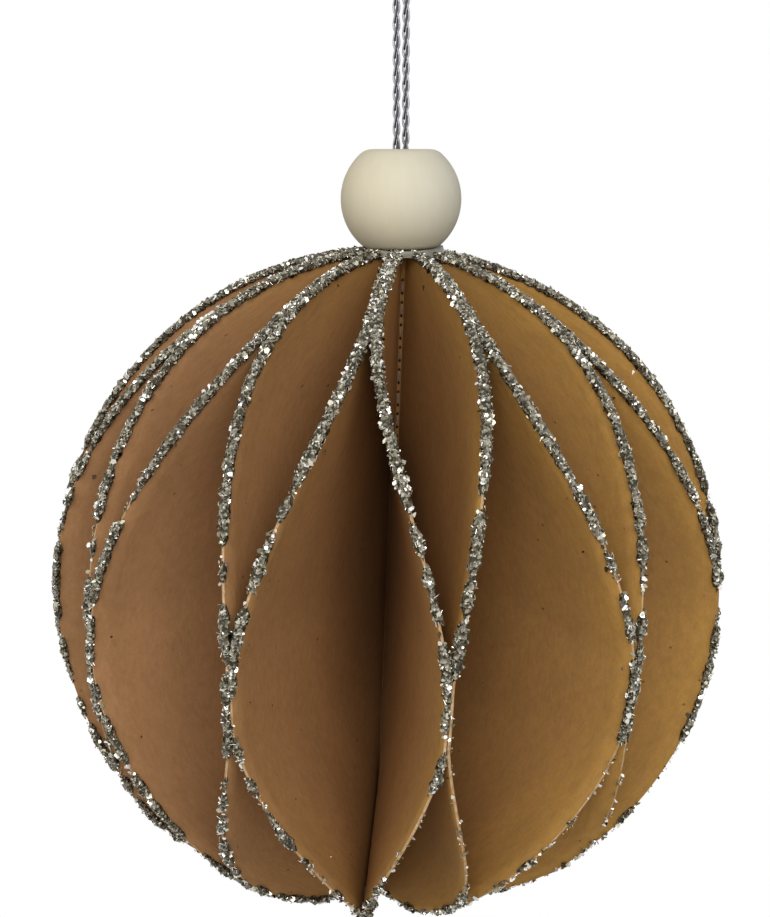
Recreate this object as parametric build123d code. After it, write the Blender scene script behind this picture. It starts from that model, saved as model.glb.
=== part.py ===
from build123d import *
import os
from math import acos, atan2, cos, degrees, pi, radians, sin, sqrt

# Paper ball ornament, in millimetres, +Z up, its front towards -Y.
# Round sheets of brown card are stacked and sewn together down their middle line. Each sheet is folded
# along the seam, so that its two halves stand out as leaves, and next-door leaves are glued rim to rim
# by turns near the top and bottom, and at the middle height. A glitter crust sits on every rim, a wooden
# bead is glued on the top, and a doubled cord rises through the bead.
# The origin is the axis of the hook that the cord's loop hangs on.

# Sheets
DISC_DIAMETER = 80.0
DISC_COUNT = 12
SHEET = 0.30
SHEET_GAP = 0.04

# Seam, where the flat strip of each sheet ends and its leaves begin
STRIP_HALF_WIDTH = 0.35
LEAF_ROOT = 0.40
THREAD_WIDTH = 0.26
THREAD_HEIGHT = 0.20
STITCH_PITCH = 3.05
STITCH_LENGTH = 1.8
SEAM_END_MARGIN = 2.5

# Glued spots, as latitudes on the ball in degrees, and the stretch of rim that each one holds
TOP_SPOT = 65.0
MIDDLE_SPOT = -6.0
LOW_SPOT = -65.0
SPOT_HALF_ANGLE = 5.0
GLUE_LINE = 0.10
GLUE_DOT_LENGTH = 4.0
GLUE_DOT_WIDTH = 2.4
GLUE_DOT_INSET = 0.8

# Where the gentle folds of a leaf start on the seam, above and below the middle spot
FOLD_ROOT_HEIGHT = 13.0
FOLDS_PER_QUARTER = 5

# How far, in degrees, hand gluing moved a spot round the ball, by the number of its joint from the front
RIGHT_SHIFTS = {
    "top": {1: -3.0, 3: -3.5, 7: 2.0, 9: -2.5},
    "middle": {2: 1.5, 4: 3.5, 10: 1.5},
    "low": {1: -0.5, 3: 2.5, 7: -1.5, 9: 1.0},
}
LEFT_SHIFTS = {
    "top": {1: 1.4, 3: -1.5, 5: -3.4, 11: 1.5},
    "middle": {2: 2.7, 4: 3.5, 6: -1.0, 8: 2.0},
    "low": {1: -1.1, 3: 3.2, 9: -2.0},
}

# Glitter crust on the rims. It ends short of the seam's ends, by the margins
CRUST_WIDTH = 1.5
CRUST_HEIGHT = 0.6
CRUST_SEAT = 0.07
CRUST_TOP_MARGIN = 4.6
CRUST_LOW_MARGIN = 1.2
CRUST_END_STEPS = 2

# How the ball hangs under the bead, in degrees
FAN_TURN = 9.0
BALL_LEAN = 2.1

# Bead and the glue round its foot
BEAD_DIAMETER = 14.2
BEAD_HEIGHT = 11.6
BEAD_BORE = 3.0
BORE_EASE = 0.3
GLUE_FILM = 0.20
SKIRT_FOOT_DIAMETER = 11.3
SKIRT_TOP_DIAMETER = 10.6
SKIRT_HEIGHT = 1.0
GLUE_CLEARANCE = 0.03

# Cord
CORD_DIAMETER = 0.9
STRAND_SPACING = 1.15
HOOK_ARC_RADIUS = 0.95
ARC_EASE = 0.01
LOOP_HEIGHT = 49.2

RADIUS = DISC_DIAMETER / 2
STEP = 180 / DISC_COUNT
PITCH = SHEET + SHEET_GAP
JOINT_OFFSET = (SHEET + GLUE_LINE) / 2
BEAD_TOP_Z = -LOOP_HEIGHT
BEAD_FOOT_Z = BEAD_TOP_Z - BEAD_HEIGHT
POLE_Z = BEAD_FOOT_Z - GLUE_FILM

BALL_PLACE = Pos(0, 0, POLE_Z) * Rot(0, BALL_LEAN, 0) * Pos(0, 0, -RADIUS) * Rot(0, 0, FAN_TURN)


def ball_sphere(extra=0.0):
    """The ball's round outline, its poles turned away from every fold."""
    return Rot(65, 0, 25) * Sphere(RADIUS + extra)


def stack_y(disc):
    """Where a sheet lies in the sewn stack, front sheet first."""
    return (disc - (DISC_COUNT - 1) / 2) * PITCH


def fold_x(disc):
    """How far from the seam a sheet folds, so that glued leaves run side by side without crossing."""
    from_face = min(disc, DISC_COUNT - 1 - disc)
    angles = [radians(STEP * turn) for turn in range(1, from_face + 1)]
    return STRIP_HALF_WIDTH + sum(PITCH * (1 - sin(a)) / cos(a) for a in angles)


def ray(angle):
    """The level direction at an angle from the front, towards the right."""
    return Vector(sin(radians(angle)), -cos(radians(angle)), 0)


def across(angle):
    """The level direction square to ray(angle), towards larger angles."""
    return Vector(cos(radians(angle)), sin(radians(angle)), 0)


def spot_angle(shifts, number, latitude):
    """The angle of a glued joint from the front. Joint 0 faces the front, the last one the back."""
    if number % 2 == 0:
        spot = "middle"
    else:
        spot = "top" if latitude > MIDDLE_SPOT else "low"
    return STEP * number + shifts[spot].get(number, 0.0)


def leaf_root(disc):
    """The upright line that a leaf starts from, as its foot point in plan."""
    return Vector(fold_x(disc), stack_y(disc), 0) + ray(STEP * (disc + 0.5)) * LEAF_ROOT


def aim(disc, shifts, number, latitude):
    """The angle at which a leaf leaves the seam to reach its glued joint at that latitude."""
    angle = spot_angle(shifts, number, latitude)
    side = 1 if number == disc else -1
    reach = RADIUS * cos(radians(latitude))
    rim = ray(angle) * reach + across(angle) * (side * JOINT_OFFSET)
    run = rim - leaf_root(disc)
    return angle + degrees(atan2(run.dot(across(angle)), run.dot(ray(angle))))


def ease(share):
    """A gentle S between 0 and 1, for a rim that swings from one joint to the next."""
    return 0.5 * share + 0.5 * share * share * (3 - 2 * share)


def rim_stations(disc, shifts, spot):
    """Latitudes and angles of the rim from the middle spot's edge to the top or low spot's edge."""
    outer_joint = disc if disc % 2 else disc + 1
    middle_joint = disc + 1 if disc % 2 else disc
    sign = 1 if spot > MIDDLE_SPOT else -1
    start = MIDDLE_SPOT + sign * SPOT_HALF_ANGLE
    end = spot - sign * SPOT_HALF_ANGLE
    middle_aim = aim(disc, shifts, middle_joint, MIDDLE_SPOT)
    outer_aim = aim(disc, shifts, outer_joint, spot)
    shares = [step / FOLDS_PER_QUARTER for step in range(FOLDS_PER_QUARTER + 1)]
    return [
        (start + (end - start) * share, middle_aim + (outer_aim - middle_aim) * ease(share))
        for share in shares
    ]


def rim_point(disc, latitude, angle, radius=RADIUS):
    """The point on the ball that a leaf's rim reaches at a latitude, when it leaves the seam at an angle."""
    root = leaf_root(disc)
    level = radius * cos(radians(latitude))
    along = root.dot(ray(angle))
    reach = sqrt(along * along - root.dot(root) + level * level) - along
    point = root + ray(angle) * reach
    return Vector(point.X, point.Y, radius * sin(radians(latitude)))


def root_point(disc, height):
    """The point of a leaf's root line at a height."""
    root = leaf_root(disc)
    return Vector(root.X, root.Y, height)


def facet(corners):
    """A flat facet of a sheet. Its edge from the first corner to the second is an arc on the ball."""
    near, far, inner = corners[:3]
    normal = (far - near).cross(inner - near).normalized()
    centre = normal * near.dot(normal)
    crown = centre + ((near + far) / 2 - centre).normalized() * (near - centre).length
    outline = [Edge.make_three_point_arc(near, crown, far)]
    straight = list(corners[1:]) + [near]
    outline += [Edge.make_line(a, b) for a, b in zip(straight, straight[1:])]
    return Face(Wire(outline))


def leaf_facets(disc, shifts):
    """A leaf's middle surface as flat facets, which meet at gentle folds that start on the seam."""
    root = leaf_root(disc)
    pole = sqrt(RADIUS * RADIUS - root.dot(root))
    middle_height = RADIUS * sin(radians(MIDDLE_SPOT))
    facets = []
    for spot in (TOP_SPOT, LOW_SPOT):
        sign = 1 if spot > MIDDLE_SPOT else -1
        fold_root = root_point(disc, middle_height + sign * FOLD_ROOT_HEIGHT)
        rim = [rim_point(disc, *station) for station in rim_stations(disc, shifts, spot)]
        facets += [facet((near, far, fold_root)) for near, far in zip(rim, rim[1:])]
        facets.append(facet((rim[-1], root_point(disc, sign * pole), fold_root)))
        if sign > 0:
            top_rim, top_root = rim[0], fold_root
    facets.append(facet((rim[0], top_rim, top_root, fold_root)))
    return facets


def leaf(disc, shifts):
    """One half of a sheet, as thick as the sheet."""
    square = across(STEP * (disc + 0.5))
    prisms = [
        Solid.extrude(flat.moved(Location(square * (-SHEET / 2))), square * SHEET)
        for flat in leaf_facets(disc, shifts)
    ]
    return prisms[0].fuse(*prisms[1:])


def strip(disc):
    """The flat strip at the seam with the two sharp folds and the roots of both leaves."""
    angle = STEP * (disc + 0.5)
    fold = Vector(fold_x(disc), stack_y(disc), 0)
    root = leaf_root(disc)
    square = across(angle)
    mitre = (square + Vector(0, 1, 0)) * (SHEET / 2 / (1 + square.Y))
    inner = [fold - mitre, root - square * (SHEET / 2)]
    outer = [root + square * (SHEET / 2), fold + mitre]
    right = inner + outer
    left = [Vector(-point.X, point.Y, 0) for point in reversed(right)]
    outline = Wire.make_polygon(right + left, close=True)
    end = sqrt(RADIUS * RADIUS - max(corner.dot(corner) for corner in right))
    face = Face(outline).moved(Location((0, 0, -end)))
    return Solid.extrude(face, Vector(0, 0, 2 * end))


def paper_disc(disc):
    """A whole sheet: the strip with the right leaf and the left leaf."""
    right = leaf(disc, RIGHT_SHIFTS)
    left = leaf(disc, LEFT_SHIFTS).mirror(Plane.YZ)
    return strip(disc).fuse(right, left)


def crust_stations(disc, shifts):
    """Latitudes and angles along a whole rim, from the low end to the top end of its crust."""
    low = rim_stations(disc, shifts, LOW_SPOT)[::-1]
    top = rim_stations(disc, shifts, TOP_SPOT)
    seam = leaf_root(disc).length
    low_end = -degrees(acos((seam + CRUST_LOW_MARGIN) / RADIUS))
    top_end = degrees(acos((seam + CRUST_TOP_MARGIN) / RADIUS))
    steps = range(1, CRUST_END_STEPS + 1)
    low_step = (low_end - low[0][0]) / CRUST_END_STEPS
    top_step = (top_end - top[-1][0]) / CRUST_END_STEPS
    below = [(low[0][0] + low_step * step, low[0][1]) for step in reversed(steps)]
    above = [(top[-1][0] + top_step * step, top[-1][1]) for step in steps]
    return below + low + top + above


def crust(disc, shifts):
    """The glitter crust on one leaf's rim. Beside a glued neighbour it only reaches the glue line."""
    stations = crust_stations(disc, shifts)
    widest_step = max(far[0] - near[0] for near, far in zip(stations, stations[1:]))
    inner = (RADIUS + CRUST_SEAT) / cos(radians(widest_step / 2))
    outer = inner + CRUST_HEIGHT

    def corner(latitude, angle, radius, towards):
        middle = rim_point(disc, latitude, angle, radius)
        joint = spot_angle(shifts, disc + towards, latitude)
        room = abs(middle.dot(across(joint))) - CRUST_SEAT
        return middle + across(angle) * (min(CRUST_WIDTH / 2, room) * (1 if towards else -1))

    sections = [
        [corner(latitude, angle, *place) for place in ((inner, 0), (inner, 1), (outer, 1), (outer, 0))]
        for latitude, angle in stations
    ]
    triangles = []
    for low, high in zip(sections, sections[1:]):
        for side in range(4):
            turn = (side + 1) % 4
            triangles += [(low[side], low[turn], high[turn]), (low[side], high[turn], high[side])]
    for end in (sections[0], sections[-1]):
        triangles += [(end[0], end[1], end[2]), (end[0], end[2], end[3])]
    skin = [Face(Wire.make_polygon(triangle, close=True)) for triangle in triangles]
    return Solid(Shell(skin))


def glitter_edge(disc):
    """The crusts on both leaves of a sheet."""
    return [crust(disc, RIGHT_SHIFTS), crust(disc, LEFT_SHIFTS).mirror(Plane.YZ)]


def glue_dots():
    """The thin glue pads between the rims, two at each upper joint and one at each middle one."""
    length = GLUE_DOT_LENGTH
    depth = GLUE_LINE - 2 * GLUE_CLEARANCE
    dots = []
    for number in range(DISC_COUNT + 1):
        latitudes = (TOP_SPOT, LOW_SPOT) if number % 2 else (MIDDLE_SPOT,)
        sides = (1,) if number in (0, DISC_COUNT) else (1, -1)
        for latitude in latitudes:
            for side in sides:
                angle = side * spot_angle(RIGHT_SHIFTS if side > 0 else LEFT_SHIFTS, number, latitude)
                pad = Box(GLUE_DOT_WIDTH, depth, length)
                out = Pos(RADIUS - GLUE_DOT_INSET - GLUE_DOT_WIDTH / 2, 0, 0) * pad
                dots.append((Rot(0, 0, angle - 90) * Rot(0, -latitude, 0) * out).solids()[0])
    return dots


def stitches():
    """The thread that shows along the seam, on the front sheet and on the back one."""
    reach = RADIUS - SEAM_END_MARGIN
    count = int(2 * reach / STITCH_PITCH)
    start = -(count - 1) * STITCH_PITCH / 2
    face = -stack_y(0) + SHEET / 2
    middle = face + THREAD_HEIGHT / 2
    stitch = Box(THREAD_WIDTH, THREAD_HEIGHT, STITCH_LENGTH)
    heights = [start + STITCH_PITCH * number for number in range(count)]
    return [(Pos(0, side * middle, height) * stitch).solids()[0] for side in (-1, 1) for height in heights]


def wood_bead():
    """A round bead with a flat at each end and a bore with eased edges."""
    ball = Pos(0, 0, BEAD_TOP_Z - BEAD_HEIGHT / 2) * Sphere(BEAD_DIAMETER / 2)
    between = Pos(0, 0, BEAD_TOP_Z - BEAD_HEIGHT / 2) * Cylinder(BEAD_DIAMETER, BEAD_HEIGHT)
    bore = Pos(0, 0, BEAD_TOP_Z - BEAD_HEIGHT / 2) * Cylinder(BEAD_BORE / 2, BEAD_HEIGHT)
    bead = ball & between
    bead -= bore
    rim = bead.edges().filter_by(GeomType.CIRCLE).group_by(Axis.Z)[-1].sort_by(SortBy.RADIUS)[0]
    return chamfer(rim, BORE_EASE)


def bead_glue(bead):
    """Clear glue under the bead: a skirt round its foot, a film on the rims and a plug in the bore."""
    top = BEAD_FOOT_Z + SKIRT_HEIGHT
    drop = RADIUS - sqrt(RADIUS**2 - (SKIRT_FOOT_DIAMETER / 2) ** 2)
    lean_drop = SKIRT_FOOT_DIAMETER / 2 * sin(radians(BALL_LEAN))
    height = top - POLE_Z + drop + lean_drop
    blob = Pos(0, 0, top - height / 2) * Cone(SKIRT_FOOT_DIAMETER / 2, SKIRT_TOP_DIAMETER / 2, height)
    ball = BALL_PLACE * ball_sphere(GLUE_CLEARANCE)
    return max((blob - bead - ball).solids(), key=lambda solid: solid.volume)


def cord():
    """One cord, up from the glue through the bore, over the hook and back down."""
    low = BEAD_FOOT_Z + SKIRT_HEIGHT + GLUE_CLEARANCE
    half = STRAND_SPACING / 2
    route = [
        (-half, 0, low),
        (-HOOK_ARC_RADIUS, 0, HOOK_ARC_RADIUS),
        (HOOK_ARC_RADIUS, 0, HOOK_ARC_RADIUS),
        (half, 0, low),
    ]
    radius = HOOK_ARC_RADIUS - ARC_EASE
    print("cord arc radii", [radius, radius])
    path = FilletPolyline(*route, radius=[radius, radius])
    section = Plane(path @ 0, z_dir=path % 0) * Circle(CORD_DIAMETER / 2)
    tube = sweep(section, path=path)
    print("cord length", round(path.length, 2))
    print("cord volume over section times length", tube.volume / (pi * CORD_DIAMETER**2 / 4 * path.length))
    return tube


def write(name, solids):
    """One STEP file for a node, of one solid or several."""
    shape = solids[0] if len(solids) == 1 else Compound(children=solids)
    export_step(shape, f"parts/{name}.step")


os.makedirs("parts", exist_ok=True)

for number in range(DISC_COUNT):
    write(f"paper_disc_{number + 1:02d}", [BALL_PLACE * solid for solid in paper_disc(number).solids()])
    write(f"glitter_edge_{number + 1:02d}", [BALL_PLACE * solid for solid in glitter_edge(number)])

write("glue_dots", [BALL_PLACE * solid for solid in glue_dots()])
write("seam_thread", [BALL_PLACE * solid for solid in stitches()])

bead_solid = wood_bead()
write("wood_bead", bead_solid.solids())
write("bead_glue", [bead_glue(bead_solid)])
write("hanging_cord", cord().solids())
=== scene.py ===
import bpy
import numpy as np
from bpy.props import FloatProperty, FloatVectorProperty, IntProperty, PointerProperty
from bpy.types import Operator, Panel, PropertyGroup
from mathutils import Matrix, Vector


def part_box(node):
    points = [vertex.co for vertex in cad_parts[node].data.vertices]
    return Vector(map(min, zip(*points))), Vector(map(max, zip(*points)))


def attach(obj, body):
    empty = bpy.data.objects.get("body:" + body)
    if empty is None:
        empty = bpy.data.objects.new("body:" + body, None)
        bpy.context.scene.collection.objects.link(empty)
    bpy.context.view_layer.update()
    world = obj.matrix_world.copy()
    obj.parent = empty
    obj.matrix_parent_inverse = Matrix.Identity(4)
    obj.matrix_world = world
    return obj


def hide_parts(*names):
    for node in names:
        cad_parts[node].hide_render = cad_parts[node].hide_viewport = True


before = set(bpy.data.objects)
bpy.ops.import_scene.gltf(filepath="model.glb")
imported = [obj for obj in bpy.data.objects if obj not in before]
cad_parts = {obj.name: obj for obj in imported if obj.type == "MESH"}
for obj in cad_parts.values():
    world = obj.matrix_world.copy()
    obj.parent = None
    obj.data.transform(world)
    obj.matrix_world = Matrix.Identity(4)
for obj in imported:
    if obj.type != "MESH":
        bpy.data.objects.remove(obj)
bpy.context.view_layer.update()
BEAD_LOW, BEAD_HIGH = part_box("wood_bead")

bl_info = {
    "name": "Paper Ball Ornament",
    "version": (1, 0, 0),
    "blender": (4, 5, 0),
    "location": "View3D > Sidebar > Paper Ball",
    "description": "A sewn and folded card ball with glittered rims, a wooden bead and a cord loop",
    "category": "Add Mesh",
}

MM = 0.001
TURN = 2 * np.pi

# How the sheets are stacked, folded and glued: the same sizes as the solids
DISC_COUNT = 12
RADIUS = 40.0 * MM
SHEET = 0.30 * MM
PITCH = 0.34 * MM
STRIP_HALF_WIDTH = 0.35 * MM
LEAF_ROOT = 0.40 * MM
JOINT_OFFSET = 0.20 * MM
STEP = np.pi / DISC_COUNT
TOP_SPOT, MIDDLE_SPOT, LOW_SPOT = np.radians((65.0, -6.0, -65.0))
SPOT_HALF_ANGLE = np.radians(5.0)
FOLD_ROOT_HEIGHT = 13.0 * MM
FOLD_SHARPNESS = 0.6

# How far, in degrees, hand gluing moved a spot round the ball, by the number of its joint from the front
RIGHT_SHIFTS = {
    "top": {1: -3.0, 3: -3.5, 7: 2.0, 9: -2.5},
    "middle": {2: 1.5, 4: 3.5, 10: 1.5},
    "low": {1: -0.5, 3: 2.5, 7: -1.5, 9: 1.0},
}
LEFT_SHIFTS = {
    "top": {1: 1.4, 3: -1.5, 5: -3.4, 11: 1.5},
    "middle": {2: 2.7, 4: 3.5, 6: -1.0, 8: 2.0},
    "low": {1: -1.1, 3: 3.2, 9: -2.0},
}

# Rims that were left nearly bare, by side and sheet: from and to which latitude in degrees, and what is there
BARE_STRETCHES = {
    (1, 0): (-43.0, 0.0, 0.22),
    (1, 1): (-70.0, -14.0, 0.45),
    (1, 2): (-66.0, -10.0, 0.35),
    (1, 3): (-60.0, -20.0, 0.55),
    (-1, 0): (-38.0, -19.0, 0.25),
    (-1, 1): (-60.0, -12.0, 0.7),
}

# Heights under the hook, and how the ball hangs
BEAD_TOP_Z = BEAD_HIGH[2]
BEAD_FOOT_Z = BEAD_LOW[2]
BEAD_RADIUS = (BEAD_HIGH[0] - BEAD_LOW[0]) / 2
GLUE_FILM = 0.20 * MM
POLE_Z = BEAD_FOOT_Z - GLUE_FILM
FAN_TURN = np.radians(9.0)
BALL_LEAN = np.radians(2.1)
BALL_CENTRE = np.array((-RADIUS * np.sin(BALL_LEAN), 0.0, POLE_Z - RADIUS * np.cos(BALL_LEAN)))

# Route of the cord: up through the bead, over the hook and back down. The runs keep close together in the
# photograph's view, and part near the hook
CORD_ROUTE = (
    (-0.00053, 0.0, -0.05977),
    (-0.00053, 0.0, -0.0280),
    (-0.00082, 0.0, -0.0045),
    (-0.00095, 0.0, 0.00095),
    (0.00095, 0.0, 0.00095),
    (0.00082, 0.0, -0.0045),
    (0.00053, 0.0, -0.0280),
    (0.00053, 0.0, -0.05977),
)

# The glue skirt under the bead: its radius, flare and ripple, how far its top rises at both sides, tilts up
# to the right and lies under the bead's foot, how it sits on the rims, and its inner wall
SKIRT_RADIUS = 5.00 * MM
SKIRT_FLARE = 0.62 * MM
SKIRT_RIPPLE = 0.07 * MM
SKIRT_RISE = 0.25 * MM
SKIRT_TILT = 0.15 * MM
SKIRT_DROP = 0.05 * MM
SKIRT_SEAT_RADIUS = 5.7 * MM
SKIRT_SEAT_DEPTH = 0.1 * MM
SKIRT_INNER_RADIUS = np.array((3.9, 3.9, 4.7)) * MM
SKIRT_INNER_RISE = np.array((-0.35, -0.10, -0.05)) * MM
SKIRT_TURNS = 160

# The glitter's bed: the tube left where a rim is bare, how far that sinks in, and the latitudes in degrees
# between which bed and flakes lie. The corners of a flake and of a needle hole, and between which depths it is
BARE_BED = 0.10 * MM
BARE_SINK = 0.12 * MM
BED_ENDS = (-84, 86)
FLAKE_ENDS = (-86, 87)
FLAKE_CORNERS = 5
HOLE_CORNERS = 10
HOLE_DEPTHS = (0.02 * MM, -0.05 * MM)

# The two lamps' places and widths, and between which distances the floor fades to the background's white
KEY_PLACE = (0.05, -0.55, 0.26)
KEY_SIZE = 0.6
FILL_PLACE = (-0.50, -0.40, 0.20)
FILL_SIZE = 0.5
FLOOR_FADE = (0.12, 0.22)

# The photograph's frame: its size, where the ball's centre falls in it, and the view's distance and height
PHOTO_WIDTH = 770
PHOTO_HEIGHT = 917
CENTRE_PIXEL = (388.5, 577.5)
FOCAL_PIXELS = 1621.6
VIEW_DISTANCE = 0.200
VIEW_ELEVATION = np.radians(15.0)
SENSOR = 36.0


def stack_y(disc):
    """Where a sheet lies in the sewn stack, front sheet first."""
    return (disc - (DISC_COUNT - 1) / 2) * PITCH


def fold_x(disc):
    """Where a sheet folds: each sheet nearer the middle folds further out by pitch * (1 - sin a) / cos a."""
    angles = STEP * np.arange(1, min(disc, DISC_COUNT - 1 - disc) + 1)
    return STRIP_HALF_WIDTH + PITCH * np.sum((1 - np.sin(angles)) / np.cos(angles))


def ray(angle):
    """Level direction at an angle from the front towards the right: (sin a, -cos a)."""
    return np.stack((np.sin(angle), -np.cos(angle)), axis=-1)


def across(angle):
    """Level direction square to the ray, towards larger angles: (cos a, sin a)."""
    return np.stack((np.cos(angle), np.sin(angle)), axis=-1)


def joint_angle(shifts, number, latitude):
    """Angle of a glued joint from the front near each latitude, with what hand gluing moved it there."""
    if number % 2:
        top, low = shifts["top"].get(number, 0.0), shifts["low"].get(number, 0.0)
        moved = np.where(latitude > MIDDLE_SPOT, top, low)
    else:
        moved = shifts["middle"].get(number, 0.0)
    return STEP * number + np.radians(moved)


def leaf_root(disc):
    """Foot point, in plan, of the upright line that a leaf starts from."""
    return np.array((fold_x(disc), stack_y(disc))) + ray(STEP * (disc + 0.5)) * LEAF_ROOT


def aim(disc, shifts, number, latitude):
    """Angle at which a leaf leaves its root to end beside a joint's plane at that latitude."""
    angle = joint_angle(shifts, number, latitude)
    side = 1 if number == disc else -1
    rim = ray(angle) * RADIUS * np.cos(latitude) + across(angle) * side * JOINT_OFFSET
    run = rim - leaf_root(disc)
    return angle + np.arctan2(run @ across(angle), run @ ray(angle))


def shares(latitude):
    """How far each latitude is from the middle spot to the top one, and to the low one, from 0 to 1."""
    top_start, top_end = MIDDLE_SPOT + SPOT_HALF_ANGLE, TOP_SPOT - SPOT_HALF_ANGLE
    low_start, low_end = MIDDLE_SPOT - SPOT_HALF_ANGLE, LOW_SPOT + SPOT_HALF_ANGLE
    top = np.clip((latitude - top_start) / (top_end - top_start), 0, 1)
    low = np.clip((latitude - low_start) / (low_end - low_start), 0, 1)
    return top, low


def rim_angle(disc, shifts, latitude):
    """Angle of a rim: kept at its glued joints, and between them swung by (s + s * s * (3 - 2 s)) / 2."""
    outer_joint = disc + 1 - disc % 2
    middle_joint = disc + disc % 2
    middle = aim(disc, shifts, middle_joint, MIDDLE_SPOT)
    top_swing = aim(disc, shifts, outer_joint, TOP_SPOT) - middle
    low_swing = aim(disc, shifts, outer_joint, LOW_SPOT) - middle
    top, low = (0.5 * s + 0.5 * s * s * (3 - 2 * s) for s in shares(latitude))
    return middle + top_swing * top + low_swing * low


def rim_points(disc, shifts, latitude):
    """Points of a rim on the ball: from the root along the ray until the level radius is R cos(latitude)."""
    root = leaf_root(disc)
    direction = ray(rim_angle(disc, shifts, latitude))
    along = direction @ root
    level = RADIUS * np.cos(latitude)
    reach = np.sqrt(np.maximum(along * along - root @ root + level * level, 0)) - along
    plan = root + direction * reach[:, None]
    return np.column_stack((plan, RADIUS * np.sin(latitude)))


def place_ball(points):
    """From the ball's own frame to the ornament's: turned, then hung from its pole with its lean."""
    turn = np.array(Matrix.Rotation(FAN_TURN, 3, "Z"))
    lean = np.array(Matrix.Rotation(BALL_LEAN, 3, "Y"))
    return (points @ turn.T - (0, 0, RADIUS)) @ lean.T + (0, 0, POLE_Z)


def mirrored(points, side):
    """The left-hand twin of right-hand points when side is -1."""
    return points * (side, 1, 1)


def unit(vectors):
    """Vectors of length one."""
    return vectors / np.maximum(np.linalg.norm(vectors, axis=-1, keepdims=True), 1e-12)


def grid_quads(rows, columns, around=False):
    """Corner numbers of a grid's quads. The grid closes on itself along its columns if around."""
    row, column = np.mgrid[0 : rows - 1, 0 : columns - (0 if around else 1)]
    after = (column + 1) % columns
    here, above = row * columns, (row + 1) * columns
    return np.stack((here + column, here + after, above + after, above + column), axis=-1).reshape(-1, 4)


def add_piece(name, points, polygons, materials, kinds=None, smooth=True):
    """A mesh piece from an array of points and arrays of polygons, each array with one number of corners."""
    mesh = bpy.data.meshes.new(name)
    mesh.vertices.add(len(points))
    mesh.vertices.foreach_set("co", np.ascontiguousarray(points, dtype=np.float32).ravel())
    corners = np.concatenate([array.ravel() for array in polygons]).astype(np.int32)
    totals = np.concatenate([np.full(len(array), array.shape[1]) for array in polygons]).astype(np.int32)
    starts = np.concatenate(((0,), np.cumsum(totals)[:-1])).astype(np.int32)
    mesh.loops.add(len(corners))
    mesh.loops.foreach_set("vertex_index", corners)
    mesh.polygons.add(len(totals))
    mesh.polygons.foreach_set("loop_start", starts)
    mesh.polygons.foreach_set("loop_total", totals)
    for material in materials:
        mesh.materials.append(material)
    if kinds is not None:
        mesh.polygons.foreach_set("material_index", np.asarray(kinds, dtype=np.int32))
    mesh.polygons.foreach_set("use_smooth", np.full(len(totals), smooth))
    mesh.update(calc_edges=True)
    piece = bpy.data.objects.new(name, mesh)
    bpy.context.scene.collection.objects.link(piece)
    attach(piece, "root")
    return piece


def set_map(piece, values):
    """A UV map of real sizes in metres, one pair for each point."""
    mesh = piece.data
    corner_points = np.empty(len(mesh.loops), dtype=np.int32)
    mesh.loops.foreach_get("vertex_index", corner_points)
    layer = mesh.uv_layers.new(name="sheet")
    layer.uv.foreach_set("vector", values[corner_points].astype(np.float32).ravel())


def set_value(piece, name, values):
    """A number for each point, which the piece's material reads as an attribute."""
    attribute = piece.data.attributes.new(name, "FLOAT", "POINT")
    attribute.data.foreach_set("value", values.astype(np.float32))


class Finish:
    """A node material: a Principled shader, and short calls that add the nodes of a pattern."""

    def __init__(self, name, **sockets):
        self.material = bpy.data.materials.new(name)
        self.material.use_nodes = True
        self.tree = self.material.node_tree
        self.shader = self.tree.nodes["Principled BSDF"]
        for socket, value in sockets.items():
            self.shader.inputs[socket.replace("_", " ")].default_value = value

    def node(self, kind, inputs=None, **settings):
        """A node with its settings, and its inputs linked or given a value."""
        node = self.tree.nodes.new(kind)
        for setting, value in settings.items():
            setattr(node, setting, value)
        for socket, value in (inputs or {}).items():
            if isinstance(value, bpy.types.NodeSocket):
                self.tree.links.new(value, node.inputs[socket])
            else:
                node.inputs[socket].default_value = value
        return node

    def coordinates(self, source, scale, rotation=(0, 0, 0)):
        """Object or UV coordinates, stretched by a scale in patterns per metre."""
        place = self.node("ShaderNodeTexCoord").outputs[source]
        stretched = self.node("ShaderNodeMapping", {"Vector": place, "Scale": scale, "Rotation": rotation})
        return stretched.outputs["Vector"]

    def noise(self, vector, detail=3.0, roughness=0.5):
        """Noise of one pattern per unit of its vector."""
        inputs = {"Vector": vector, "Scale": 1.0, "Detail": detail, "Roughness": roughness}
        return self.node("ShaderNodeTexNoise", inputs).outputs["Fac"]

    def cells(self, vector):
        """Cells of one per unit of its vector: their colour and the distance from their middle."""
        node = self.node("ShaderNodeTexVoronoi", {"Vector": vector, "Scale": 1.0, "Randomness": 1.0})
        return node.outputs["Color"], node.outputs["Distance"]

    def levels(self, value, low, high, to_low=0.0, to_high=1.0):
        """A value stretched from one range to another, and held inside it."""
        inputs = {"Value": value, "From Min": low, "From Max": high, "To Min": to_low, "To Max": to_high}
        return self.node("ShaderNodeMapRange", inputs).outputs["Result"]

    def blend(self, share, first, second, mode="MIX"):
        """Two colours blended by a share."""
        inputs = {0: share, 6: first, 7: second}
        return self.node("ShaderNodeMix", inputs, data_type="RGBA", blend_type=mode).outputs[2]

    def attribute(self, name):
        """A value kept on the piece's points."""
        return self.node("ShaderNodeAttribute", attribute_name=name).outputs["Fac"]

    def bump(self, height, distance, strength=1.0):
        """Relief of that height in metres, given to the shader."""
        inputs = {"Height": height, "Distance": distance, "Strength": strength}
        relief = self.node("ShaderNodeBump", inputs)
        self.tree.links.new(relief.outputs["Normal"], self.shader.inputs["Normal"])

    def give(self, socket, value):
        """Links a node's output to the shader."""
        self.tree.links.new(value, self.shader.inputs[socket])


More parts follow.
